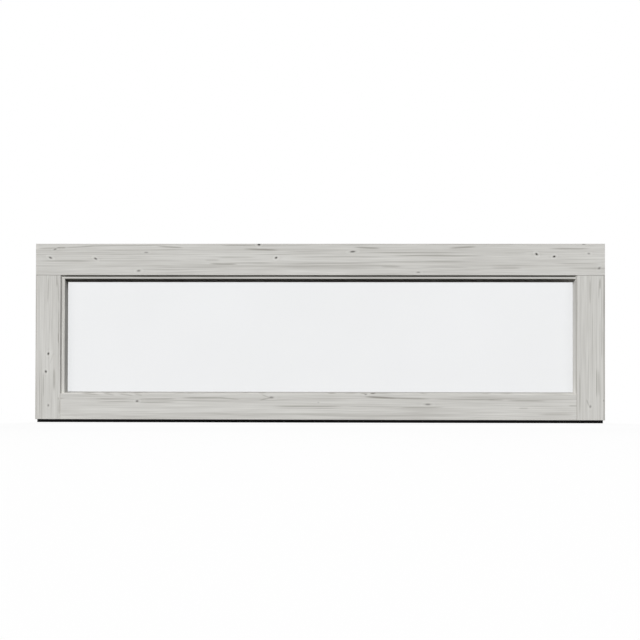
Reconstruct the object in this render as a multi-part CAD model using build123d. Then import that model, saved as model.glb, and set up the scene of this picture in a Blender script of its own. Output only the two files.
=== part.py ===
from build123d import *
import math
import os

# Fixed timber window: four face boards on a rebated timber frame, with a double-glazed unit held by
# four beads from behind and a black seal strip under the frame. It has no opening sash.
# Millimetres. +Z is up, +X runs to the right and the face boards look towards -Y. The origin lies
# on the ground in the middle of the window's width and depth.

# Face boards: overall width and height of the four boards, their widths and their thickness
overall_width = 1590.0
board_height = 491.8
head_board_width = 88.0
left_side_board_width = 70.0
right_side_board_width = 78.0
bottom_board_width = 72.0
board_thickness = 16.0
board_joint_gap = 0.6
board_edge_round = 0.8

# Frame: how far the boards stand past it, its depth, and how far it shows inside the boards; the
# margin at the side is that of the left board, and the wider right board leaves none
board_overhang = 5.0
frame_depth = 80.0
margin_side = 8.0
margin_head = 8.0
margin_sill = 2.3
frame_edge_round = 0.8
drip_groove_width = 5.0
drip_groove_depth = 4.0
face_groove_width = 2.6
face_groove_depth = 5.0
lining_groove_width = 10.0
lining_groove_depth = 8.0
lining_groove_inset = 14.0

# Rebate: depth of the front stop behind the frame's face, the slopes of its faces on the head and
# on the sill, and the cover it gives the glass unit
front_stop_depth = 36.0
head_slope_degrees = 8.5
sill_slope_degrees = 7.0
rebate_height = 20.0
unit_edge_clearance = 4.0

# Glass unit: two panes with a sealed cavity, its spacer bars and the grinding of the pane edges
pane_thickness = 4.0
cavity_width = 16.0
pane_edge_grind = 0.5
spacer_height = 6.5
spacer_shoulder = 2.0
sealant_height = 4.0

# Glazing tape in front of the unit and gasket behind it
tape_thickness = 3.0
tape_width = 10.0
tape_set_back = 1.0
gasket_thickness = 2.5
gasket_width = 7.0
gasket_lip_width = 1.6
gasket_channel_depth = 0.9

# Rear beads: height at the glass, slope of the top face, and how round its edge is
bead_height = 13.0
bead_slope_degrees = 15.0
bead_edge_round = 1.5

# Joints of the frame: stub tenons with clearance in their mortises
tenon_length = 30.0
tenon_thickness = 18.0
tenon_shoulder = 12.0
mortise_clearance = 0.25
mortise_end_clearance = 1.0

# Blocks that carry the glass unit, and the seal strip under the frame and the boards
setting_block_length = 100.0
side_block_length = 60.0
block_side_clearance = 1.0
block_channel_width = 9.0
block_channel_depth = 1.5
strip_thickness = 8.2
strip_set_back = 4.0
strip_groove_width = 8.0
strip_groove_depth = 2.0
strip_groove_count = 4

# Planes in depth, worked out from front to back
total_depth = board_thickness + frame_depth
front = -total_depth / 2
frame_front = front + board_thickness
frame_back = frame_front + frame_depth
stop_back = frame_front + front_stop_depth
unit_front = stop_back + tape_thickness
unit_depth = 2 * pane_thickness + cavity_width
unit_back = unit_front + unit_depth
cavity_front = unit_front + pane_thickness
cavity_back = cavity_front + cavity_width
bead_front = unit_back + gasket_thickness

# Outer and inner edges, worked out across the window
half_width = overall_width / 2
frame_half_width = half_width - board_overhang
boards_bottom = strip_thickness
boards_top = boards_bottom + board_height
frame_bottom = boards_bottom
frame_top = boards_top - board_overhang
sight_half_width = half_width - left_side_board_width - margin_side
head_rise = front_stop_depth * math.tan(math.radians(head_slope_degrees))
sill_rise = front_stop_depth * math.tan(math.radians(sill_slope_degrees))
head_front_bottom = boards_top - head_board_width - margin_head
sill_front_top = boards_bottom + bottom_board_width + margin_sill
sight_top = head_front_bottom - head_rise
sight_bottom = sill_front_top + sill_rise
rebate_half_width = sight_half_width + rebate_height
rebate_top = sight_top + rebate_height
rebate_bottom = sight_bottom - rebate_height
unit_half_width = rebate_half_width - unit_edge_clearance
unit_top = rebate_top - unit_edge_clearance
unit_bottom = rebate_bottom + unit_edge_clearance


def section(corners):
    """Closed flat section from (x, y, radius) corners; a radius of 0 leaves the corner sharp."""
    face = make_face(Polyline(*[(x, y) for x, y, _ in corners], close=True))
    for x, y, radius in corners:
        if radius > 0:
            corner = face.vertices().sort_by_distance(Vector(x, y, 0))[0]
            face = fillet(corner, radius)
    return face


def along_x(corners, half_length):
    """Run a section of (y, z, radius) corners along X, evenly about the middle."""
    return extrude(Plane.YZ * section(corners), half_length, both=True)


def along_z(corners, low, high):
    """Run a section of (x, y, radius) corners up from one height to another."""
    return extrude(Plane.XY.offset(low) * section(corners), high - low)


def block(low, high):
    """Solid block between its lowest and its highest corner."""
    middle = [(a + b) / 2 for a, b in zip(low, high)]
    size = [b - a for a, b in zip(low, high)]
    return Pos(*middle) * Box(*size)


def in_left_half(solid):
    """The same piece on the other side of the window."""
    return mirror(solid, about=Plane.YZ)


def mitre(solid, side, half_width_out, low, high):
    """Cut one side of a rectangular ring of strips at 45 degrees through the ring's corners."""
    corners = {
        "top": [((half_width_out, high), (1, -1)), ((-half_width_out, high), (-1, -1))],
        "bottom": [((half_width_out, low), (1, 1)), ((-half_width_out, low), (-1, 1))],
        "right": [((half_width_out, high), (-1, 1)), ((half_width_out, low), (-1, -1))],
    }
    for (x, z), (normal_x, normal_z) in corners[side]:
        plane = Plane(origin=(x, 0, z), z_dir=(normal_x, 0, normal_z))
        solid = split(solid, bisect_by=plane, keep=Keep.BOTTOM)
    return solid


def mitred_ring(profile, half_width_out, low, high):
    """Four mitred strips from one profile of (inset, y, radius) corners, around a rectangle."""
    top = along_x([(y, high - inset, radius) for inset, y, radius in profile], half_width_out)
    bottom = along_x([(y, low + inset, radius) for inset, y, radius in profile], half_width_out)
    right = along_z([(half_width_out - inset, y, radius) for inset, y, radius in profile], low, high)
    right = mitre(right, "right", half_width_out, low, high)
    return {
        "top": mitre(top, "top", half_width_out, low, high),
        "bottom": mitre(bottom, "bottom", half_width_out, low, high),
        "right": right,
        "left": in_left_half(right),
    }


def eased_board(low, high):
    """Face board with its front arrises rounded by the plane and sandpaper."""
    board = block(low, high)
    return fillet(board.edges().group_by(Axis.Y)[0], board_edge_round)


def face_boards():
    """Head board across the top, side boards under its ends, bottom board between them."""
    side_top = boards_top - head_board_width - board_joint_gap
    left_inner = -half_width + left_side_board_width
    right_inner = half_width - right_side_board_width
    return {
        "head_board": eased_board(
            (-half_width, front, boards_top - head_board_width),
            (half_width, frame_front, boards_top),
        ),
        "left_side_board": eased_board(
            (-half_width, front, boards_bottom),
            (left_inner, frame_front, side_top),
        ),
        "right_side_board": eased_board(
            (right_inner, front, boards_bottom),
            (half_width, frame_front, side_top),
        ),
        "bottom_board": eased_board(
            (left_inner + board_joint_gap, front, boards_bottom),
            (right_inner - board_joint_gap, frame_front, boards_bottom + bottom_board_width),
        ),
    }


def face_groove():
    """Groove to cut from the frame's face under the head board, where rain drips off."""
    half_length = half_width - left_side_board_width
    high = boards_top - head_board_width
    return block(
        (-half_length, frame_front - 1, high - face_groove_width),
        (half_length, frame_front + face_groove_depth, high),
    )


def head_blank():
    """Frame head: its front stop rises to the front and has a drip groove along the middle."""
    groove_front = frame_front + front_stop_depth / 2 - drip_groove_width / 2
    groove_low = sight_top + head_rise / 2
    blank = along_x(
        [
            (frame_front, frame_top, 0),
            (frame_front, head_front_bottom, frame_edge_round),
            (stop_back, sight_top, 0),
            (stop_back, rebate_top, 0),
            (frame_back, rebate_top, 0),
            (frame_back, frame_top, frame_edge_round),
        ],
        frame_half_width,
    )
    groove = block(
        (-sight_half_width, groove_front, groove_low - head_rise),
        (sight_half_width, groove_front + drip_groove_width, groove_low + drip_groove_depth),
    )
    return blank - groove - face_groove()


def sill_blank(half_length):
    """Frame sill: its front stop slopes down to the front, so that rain runs off."""
    return along_x(
        [
            (frame_front, frame_bottom, 0),
            (frame_front, sill_front_top, frame_edge_round),
            (stop_back, sight_bottom, 0),
            (stop_back, rebate_bottom, 0),
            (frame_back, rebate_bottom, 0),
            (frame_back, frame_bottom, frame_edge_round),
        ],
        half_length,
    )


def jamb_blank():
    """Right-hand jamb at full length, before its head end is scribed."""
    return along_z(
        [
            (frame_half_width, frame_front, 0),
            (sight_half_width, frame_front, frame_edge_round),
            (sight_half_width, stop_back, 0),
            (rebate_half_width, stop_back, 0),
            (rebate_half_width, frame_back, 0),
            (frame_half_width, frame_back, frame_edge_round),
        ],
        frame_bottom,
        rebate_top,
    )


def lining_groove():
    """Ring to cut from the frame's back face, for the tongue of an inside lining."""
    ring_front = frame_back - lining_groove_depth
    out_x = frame_half_width - lining_groove_inset
    out_low = frame_bottom + lining_groove_inset
    out_high = frame_top - lining_groove_inset
    outside = block((-out_x, ring_front, out_low), (out_x, frame_back + 1, out_high))
    in_x = out_x - lining_groove_width
    inside = block(
        (-in_x, ring_front, out_low + lining_groove_width),
        (in_x, frame_back + 1, out_high - lining_groove_width),
    )
    return outside - inside


def tenon_spans():
    """Depth, width and reach of the jamb's tenon and of the sill's tenon, without clearance."""
    middle = (stop_back + frame_back) / 2
    depth = (middle - tenon_thickness / 2, middle + tenon_thickness / 2)
    jamb = {
        "x": (rebate_half_width + tenon_shoulder / 2, frame_half_width - tenon_shoulder),
        "z": (rebate_top - 1, rebate_top + tenon_length),
    }
    sill = {
        "x": (rebate_half_width - 1, rebate_half_width + tenon_length),
        "z": (frame_bottom + tenon_shoulder, rebate_bottom - tenon_shoulder / 2),
    }
    return depth, jamb, sill


def frame_members():
    """Head, jambs and sill: shoulders scribed to the neighbour's section, with stub tenons."""
    depth, jamb_span, sill_span = tenon_spans()
    head = head_blank()
    jamb = jamb_blank() - head - face_groove()
    jamb += block(
        (jamb_span["x"][0], depth[0], jamb_span["z"][0]),
        (jamb_span["x"][1], depth[1], jamb_span["z"][1]),
    )
    head_mortise = block(
        (jamb_span["x"][0] - mortise_clearance, depth[0] - mortise_clearance, rebate_top - 1),
        (
            jamb_span["x"][1] + mortise_clearance,
            depth[1] + mortise_clearance,
            jamb_span["z"][1] + mortise_end_clearance,
        ),
    )
    head = head - head_mortise - in_left_half(head_mortise)

    sill = sill_blank(rebate_half_width) - jamb_blank() - in_left_half(jamb_blank())
    sill_tenon = block(
        (sill_span["x"][0], depth[0], sill_span["z"][0]),
        (sill_span["x"][1], depth[1], sill_span["z"][1]),
    )
    sill = sill + sill_tenon + in_left_half(sill_tenon)
    jamb_mortise = block(
        (
            rebate_half_width - 1,
            depth[0] - mortise_clearance,
            sill_span["z"][0] - mortise_clearance,
        ),
        (
            sill_span["x"][1] + mortise_end_clearance,
            depth[1] + mortise_clearance,
            sill_span["z"][1] + mortise_clearance,
        ),
    )
    jamb = jamb - jamb_mortise - lining_groove()
    return {
        "frame_head": head - lining_groove(),
        "right_jamb": jamb,
        "left_jamb": in_left_half(jamb),
        "frame_sill": sill - lining_groove(),
    }


def rear_beads():
    """Mitred beads that hold the unit from the room side, sloped down towards the room."""
    bead_depth = frame_back - bead_front
    low_height = bead_height - bead_depth * math.tan(math.radians(bead_slope_degrees))
    profile = [
        (0, bead_front, 0),
        (bead_height, bead_front, 0),
        (low_height, frame_back, bead_edge_round),
        (0, frame_back, 0),
    ]
    return mitred_ring(profile, rebate_half_width, rebate_bottom, rebate_top)


def glazing_tapes():
    """Four flat tapes before the unit: long ones above and below, short ones between them."""
    inset = rebate_height - tape_set_back - tape_width
    out_x = rebate_half_width - inset
    out_top = rebate_top - inset
    out_bottom = rebate_bottom + inset
    right = block(
        (out_x - tape_width, stop_back, out_bottom + tape_width),
        (out_x, unit_front, out_top - tape_width),
    )
    return {
        "top": block((-out_x, stop_back, out_top - tape_width), (out_x, unit_front, out_top)),
        "bottom": block(
            (-out_x, stop_back, out_bottom),
            (out_x, unit_front, out_bottom + tape_width),
        ),
        "right": right,
        "left": in_left_half(right),
    }


def gaskets():
    """Mitred gaskets behind the unit, with two lips against the glass and a channel between."""
    inset = bead_height - tape_set_back - gasket_width
    channel_back = unit_back + gasket_channel_depth
    profile = [
        (0, unit_back, 0),
        (gasket_lip_width, unit_back, 0),
        (gasket_lip_width, channel_back, 0),
        (gasket_width - gasket_lip_width, channel_back, 0),
        (gasket_width - gasket_lip_width, unit_back, 0),
        (gasket_width, unit_back, 0),
        (gasket_width, bead_front, 0),
        (0, bead_front, 0),
    ]
    return mitred_ring(
        profile,
        rebate_half_width - inset,
        rebate_bottom + inset,
        rebate_top - inset,
    )


def pane(low_y):
    """One pane of the unit, its edges ground."""
    glass = block(
        (-unit_half_width, low_y, unit_bottom),
        (unit_half_width, low_y + pane_thickness, unit_top),
    )
    return chamfer(glass.edges(), pane_edge_grind)


def sealant_strips():
    """Sealant between the panes, outside the spacer bars."""
    profile = [
        (0, cavity_front, 0),
        (sealant_height, cavity_front, 0),
        (sealant_height, cavity_back, 0),
        (0, cavity_back, 0),
    ]
    return mitred_ring(profile, unit_half_width, unit_bottom, unit_top)


def spacer_bars():
    """Spacer bars with sloped shoulders towards the sealant, mitred at the corners."""
    profile = [
        (0, cavity_front + spacer_shoulder, 0),
        (spacer_shoulder, cavity_front, 0),
        (spacer_height, cavity_front, 0),
        (spacer_height, cavity_back, 0),
        (spacer_shoulder, cavity_back, 0),
        (0, cavity_back - spacer_shoulder, 0),
    ]
    return mitred_ring(
        profile,
        unit_half_width - sealant_height,
        unit_bottom + sealant_height,
        unit_top - sealant_height,
    )


def unit_blocks():
    """Setting blocks at the quarter points under the unit and a location block at each side.

    A channel on the side of the frame lets water pass under or behind each block.
    """
    low_y = stop_back + block_side_clearance
    high_y = bead_front - block_side_clearance
    channel_low = (low_y + high_y - block_channel_width) / 2
    quarter = unit_half_width / 2
    middle = (unit_bottom + unit_top) / 2
    setting = block(
        (quarter - setting_block_length / 2, low_y, rebate_bottom),
        (quarter + setting_block_length / 2, high_y, unit_bottom),
    )
    setting -= block(
        (quarter - setting_block_length, channel_low, rebate_bottom - 1),
        (
            quarter + setting_block_length,
            channel_low + block_channel_width,
            rebate_bottom + block_channel_depth,
        ),
    )
    side = block(
        (unit_half_width, low_y, middle - side_block_length / 2),
        (rebate_half_width, high_y, middle + side_block_length / 2),
    )
    side -= block(
        (rebate_half_width - block_channel_depth, channel_low, middle - side_block_length),
        (
            rebate_half_width + 1,
            channel_low + block_channel_width,
            middle + side_block_length,
        ),
    )
    return {
        "right_setting_block": setting,
        "left_setting_block": in_left_half(setting),
        "right_side_block": side,
        "left_side_block": in_left_half(side),
    }


def base_strip():
    """Black seal strip under the frame and the boards, with grooves along its underside."""
    strip_front = front + strip_set_back
    strip = block(
        (-frame_half_width, strip_front, 0),
        (frame_half_width, frame_back, strip_thickness),
    )
    spacing = (frame_back - strip_front) / (strip_groove_count + 1)
    for index in range(strip_groove_count):
        middle = strip_front + spacing * (index + 1)
        strip -= block(
            (-frame_half_width - 1, middle - strip_groove_width / 2, -1),
            (frame_half_width + 1, middle + strip_groove_width / 2, strip_groove_depth),
        )
    return strip


def named(pieces, ending):
    """Node names for a ring of strips, such as top_bead."""
    return {f"{side}_{ending}": solid for side, solid in pieces.items()}


def window():
    """Every piece of the window by its node name."""
    return {
        **face_boards(),
        **frame_members(),
        **named(rear_beads(), "bead"),
        **named(glazing_tapes(), "tape"),
        **named(gaskets(), "gasket"),
        "outer_pane": pane(unit_front),
        "inner_pane": pane(cavity_back),
        **named(spacer_bars(), "spacer_bar"),
        **named(sealant_strips(), "sealant"),
        **unit_blocks(),
        "base_strip": base_strip(),
    }


os.makedirs("parts", exist_ok=True)
for name, solid in window().items():
    export_step(solid, f"parts/{name}.step")
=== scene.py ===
"""Fixed timber window: finishes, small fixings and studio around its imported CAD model.

Laid out as an add-on and run as a script. Metres in Blender; the grain tables are in millimetres.
"""

import math

import bpy
from mathutils import Matrix, Vector


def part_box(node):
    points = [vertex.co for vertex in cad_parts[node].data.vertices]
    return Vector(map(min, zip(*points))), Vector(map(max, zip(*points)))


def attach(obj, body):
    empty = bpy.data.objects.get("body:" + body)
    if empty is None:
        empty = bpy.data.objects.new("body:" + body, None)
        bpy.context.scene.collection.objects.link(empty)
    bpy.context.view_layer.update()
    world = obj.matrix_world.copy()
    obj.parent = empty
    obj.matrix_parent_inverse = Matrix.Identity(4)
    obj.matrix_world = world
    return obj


bl_info = {
    "name": "Fixed Timber Window",
    "version": (1, 0, 0),
    "blender": (4, 5, 0),
    "location": "View3D > Sidebar > Window",
    "description": "Finishes, fixings and studio for a low, wide fixed timber window",
    "category": "Object",
}

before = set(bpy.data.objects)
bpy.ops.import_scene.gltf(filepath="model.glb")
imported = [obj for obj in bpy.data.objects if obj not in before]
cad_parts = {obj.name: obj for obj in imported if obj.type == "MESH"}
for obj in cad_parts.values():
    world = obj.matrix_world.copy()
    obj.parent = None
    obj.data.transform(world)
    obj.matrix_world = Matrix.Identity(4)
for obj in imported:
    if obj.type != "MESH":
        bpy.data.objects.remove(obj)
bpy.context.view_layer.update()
BODY = "root"
MILLIMETRES_IN_METRE = 1000.0

# The way from each side of the window towards its glass
INWARD = {
    "top": Vector((0, 0, -1)),
    "bottom": Vector((0, 0, 1)),
    "left": Vector((1, 0, 0)),
    "right": Vector((-1, 0, 0)),
}

# Cosine above which a face counts as facing a given way
FACING = 0.9

# Frame screws (m): depths of the two at each place, distance of those in the head from the jamb's
# outer face, and height of those beside the sill above its underside
SCREW_DEPTHS = (-0.012, 0.026)
SCREW_FROM_SIDE = 0.0265
SCREW_ABOVE_BASE = 0.030

# Sensor that the camera's focal length goes with (mm), and how far the camera sees (m)
SENSOR_WIDTH = 36.0
VIEW_LIMIT = 200.0

# Marks on the frame's head and sill, painted shade in the head's grooves and on the sill's slope
# among them, stop at the jambs' inner faces, this far from the middle (mm)
JAMB_FACE = 717.5

# How far the grain bends round a knot, and the tones of the knot's core, of the shade round it and
# of its pale collar
KNOT_BEND = 0.85
KNOT_CORE = 0.66
KNOT_SHADE = 0.07
KNOT_COLLAR = 0.11

# Size of the bent and shaded grain round a knot, in the knot's lengths and widths, and the radius
# of the collar, in the knot's radii
ROUND_LENGTH = 5.0
ROUND_WIDTH = 2.6
COLLAR_RADIUS = 2.0

# Where each fades: the core in the knot's radii, the collar in those radii from its own, the bend
# and the shade in radii of the grain round the knot
CORE_ENDS = (0.4, 1.2)
COLLAR_ENDS = (0.0, 0.8)
BEND_ENDS = (0.0, 1.3)
SHADE_ENDS = (0.25, 1.0)

# Streaks: the share of the width that stays, the least length in widths for square ends, and where
# a streak fades, in its radii
STREAK_WIDTH = 0.8
LONG_STREAK = 3
STREAK_ENDS = (0.1, 1.0)

# Rings: how far noise moves the years (in years), the power by which a year's dark line rises, the
# part of the year in which it ends, its strength in a weak year, what a strong year adds, the noise
# between which it fades along the piece, and the share that is left where it has faded
YEARS_MOVED = 2.4
LINE_RISE = 2.6
LINE_ENDS = (0.84, 1.0)
WEAK_YEAR = 0.25
STRONG_YEAR = 1.3
FADE_ALONG = (-0.16, 0.2)
FADED_LINE = 0.15

# Timber's noise: the lengths of its patches along the grain, across it and in depth (mm), what it
# adds to the piece's seed, and its detail. Those of years are by radius, those of fading by ring
TIMBER_NOISE = {
    "drift": ((900, 160, 160), 0, 1.0),
    "wander": ((150, 24, 24), 5, 2.0),
    "ragged": ((26, 9, 9), 7, 2.0),
    "years": ((17, 1, 1), 0, 1.0),
    "fading": ((210, 0.31, 1), 9, 1.0),
    "fibre": ((120, 2.9, 2.9), 2, 2.0),
    "bands": ((420, 19, 19), 3, 2.0),
    "patches": ((170, 60, 60), 4, 1.0),
}

# How far the noise moves things (mm): the pith across and in depth, the rings, the knots and
# streaks, and the sill's marks, which are ragged too
PITH_DRIFT = 14.0
PITH_DEPTH_DRIFT = 16.0
RING_WANDER = 2.4
STREAK_WANDER = 3.0
SILL_WANDER = 20.0
SILL_RAGGED = 16.0

# What each layer adds to the timber's tone, from 0 for earlywood to 1 for latewood
BASE_TONE = 0.17
LINE_TONE = 0.40
FIBRE_TONE = 0.62
BAND_TONE = 0.40
PATCH_TONE = 0.16
MARK_TONE = 0.62

# Marks between these darknesses turn towards the knots' colour, by up to this share; the painted
# shade in the groove under the head board is one of them
BLACKENED = (0.9, 1.5)
BLACK_SHARE = 0.85

# What the ring lines and the fibres take from the timber's relief, and the fibres' roughness
LINE_HOLLOW = 0.62
FIBRE_HOLLOW = 0.42
FIBRE_ROUGHNESS = 0.3

# Colour of the dust that settles on the rubber
DUST = (0.16, 0.155, 0.15, 1.0)

# Grain of each timber piece: the axis that it runs along, the pith's place across the piece and in
# depth (mm), the ring spacing (mm) and a seed
GRAIN = {
    "head_board": ("X", 372.0, 34.0, 4.6, 3.0),
    "left_side_board": ("Z", -838.0, 20.0, 4.4, 17.0),
    "right_side_board": ("Z", 838.0, 26.0, 4.4, 29.0),
    "bottom_board": ("X", 128.0, 30.0, 4.5, 41.0),
    "frame_head": ("X", 330.0, 90.0, 4.2, 53.0),
    "frame_sill": ("X", 160.0, 100.0, 4.2, 67.0),
    "left_jamb": ("Z", -690.0, 110.0, 4.3, 71.0),
    "right_jamb": ("Z", 700.0, 120.0, 4.3, 83.0),
    "top_bead": ("X", 380.0, 80.0, 3.4, 97.0),
    "bottom_bead": ("X", 110.0, 90.0, 3.4, 101.0),
    "left_bead": ("Z", -700.0, 90.0, 3.4, 113.0),
    "right_bead": ("Z", 700.0, 90.0, 3.4, 127.0),
}

# Knots of the face boards: place along and across the grain, half length, half width (mm), tilt
# (degrees) and darkness
KNOTS = {
    "head_board": (
        (-754, 461.0, 5.6, 2.9, -25, 1.1),
        (-741, 484.0, 5.0, 2.2, 15, 0.8),
        (-627, 457.8, 5.2, 2.8, -30, 1.15),
        (-485, 475.5, 6.4, 2.2, 0, 0.7),
        (-506, 424.0, 5.8, 2.9, 6, 0.9),
        (-169, 497.0, 4.6, 2.9, 0, 1.5),
        (-121, 460.6, 4.2, 3.1, 20, 1.4),
        (93, 477.5, 8.4, 2.4, 4, 1.2),
        (276, 419.8, 5.6, 2.1, 0, 0.75),
        (605, 470.4, 4.5, 3.2, -45, 1.45),
        (654, 464.0, 4.2, 2.8, 10, 1.5),
        (736, 498.0, 5.4, 2.0, 0, 0.6),
        (750, 472.0, 4.3, 2.9, -10, 0.7),
        (779, 432.0, 4.5, 3.4, 40, 0.75),
    ),
    "left_side_board": (
        (191.5, -758.5, 4.2, 3.2, 20, 1.4),
        (141.5, -765.5, 4.0, 3.1, -15, 1.4),
        (47.0, -758.0, 4.0, 3.0, 0, 0.75),
    ),
    "right_side_board": (
        (46.5, 754.0, 4.4, 3.2, 10, 0.7),
        (63.0, 791.0, 3.2, 2.2, 0, 0.5),
    ),
    "bottom_board": (
        (-509, 59.6, 4.6, 3.0, 0, 1.0),
        (-133, 70.4, 7.0, 3.2, 0, 0.75),
        (303, 51.8, 9.0, 3.2, 0, 0.72),
        (-2, 56.5, 3.2, 2.0, 0, 0.35),
        (130, 78.8, 4.0, 2.4, 0, 0.75),
    ),
}
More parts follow.
